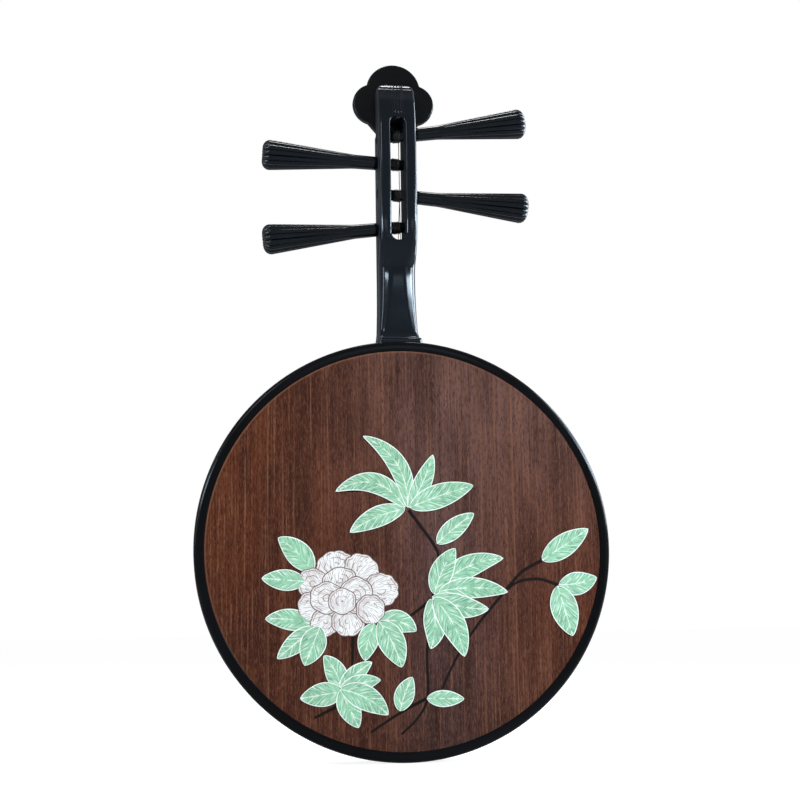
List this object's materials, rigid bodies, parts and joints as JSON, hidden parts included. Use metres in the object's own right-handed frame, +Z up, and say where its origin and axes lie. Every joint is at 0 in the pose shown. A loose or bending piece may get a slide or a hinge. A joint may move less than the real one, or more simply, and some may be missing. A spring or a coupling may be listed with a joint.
{
  "type": "yueqin moon lute",
  "caption": "Round shallow lute body with a floral inlaid back, short neck, open pegbox with cloud shaped head and fluted friction pegs.",
  "frame": {"origin": "lowest point of the round rim, half way through the body's depth, at the stand_cradle mount", "axes": "+Z up the neck to the head, -Y out of the back panel, +Y out of the soundboard, X across"},
  "size_m": [0.36, 0.0588, 0.628],
  "materials": {
    "black_lacquer": "deep gloss black lacquer over hardwood",
    "peg_lacquer": "satin black lacquer over hardwood",
    "stained_back": "satin red brown stain on straight vertical grain",
    "paulownia_board": "bare pale straight grain",
    "bone": "polished bone",
    "dark_wood": "satin dark hardwood",
    "bamboo": "polished bamboo",
    "string_wire": "wound steel string",
    "raw_softwood": "unfinished softwood",
    "spring_wire": "drawn steel",
    "green_inlay": "dyed bone, pale green, engraved",
    "pale_inlay": "pale bone, engraved",
    "stem_inlay": "black paste line"
  },
  "bodies": {
    "root": {"rim_1": "black_lacquer", "rim_2": "black_lacquer", "rim_3": "black_lacquer", "rim_4": "black_lacquer", "rim_5": "black_lacquer", "rim_6": "black_lacquer", "back_panel": "stained_back", "soundboard": "paulownia_board", "neck": "black_lacquer", "head_plate": "black_lacquer", "nut": "bone", "bridge": "dark_wood", "fret_01": "bamboo", "fret_02": "bamboo", "fret_03": "bamboo", "fret_04": "bamboo", "fret_05": "bamboo", "fret_06": "bamboo", "fret_07": "bamboo", "fret_08": "bamboo", "fret_09": "bamboo", "fret_10": "bamboo", "fret_11": "bamboo", "fret_12": "bamboo", "fret_13": "bamboo", "fret_14": "bamboo", "fret_15": "bamboo", "fret_16": "bamboo", "fret_17": "bamboo", "fret_18": "bamboo", "fret_19": "bamboo", "fret_20": "bamboo", "fret_21": "bamboo", "fret_22": "bamboo", "fret_23": "bamboo", "fret_24": "bamboo", "string_1": "string_wire", "string_2": "string_wire", "string_3": "string_wire", "string_4": "string_wire", "neck_block": "raw_softwood", "end_block": "raw_softwood", "back_brace_upper": "raw_softwood", "back_brace_lower": "raw_softwood", "board_brace_upper": "raw_softwood", "board_brace_lower": "raw_softwood", "sound_post_left": "raw_softwood", "sound_post_right": "raw_softwood", "ringing_wire": "spring_wire", "leaf_inlay": "green_inlay", "flower_inlay": "pale_inlay", "stem_inlay": "stem_inlay"},
    "peg_body_1": {"peg_1": "peg_lacquer", "winding_1": "string_wire"},
    "peg_body_2": {"peg_2": "peg_lacquer", "winding_2": "string_wire"},
    "peg_body_3": {"peg_3": "peg_lacquer", "winding_3": "string_wire"},
    "peg_body_4": {"peg_4": "peg_lacquer", "winding_4": "string_wire"}
  },
  "joints": [
    {"name": "peg_turn_1", "type": "hinge", "parent": "root", "child": "peg_body_1", "pos_m": [0, 0.005, 0.55502], "axis": [0.9903, 0, 0.1392], "continuous": true},
    {"name": "peg_turn_2", "type": "hinge", "parent": "root", "child": "peg_body_2", "pos_m": [0, 0.005, 0.52848], "axis": [-0.9986, 0, 0.0523], "continuous": true},
    {"name": "peg_turn_3", "type": "hinge", "parent": "root", "child": "peg_body_3", "pos_m": [0, 0.005, 0.49956], "axis": [0.9969, 0, -0.0785], "continuous": true},
    {"name": "peg_turn_4", "type": "hinge", "parent": "root", "child": "peg_body_4", "pos_m": [0, 0.005, 0.46923], "axis": [-0.9936, 0, -0.1132], "continuous": true}
  ]
}
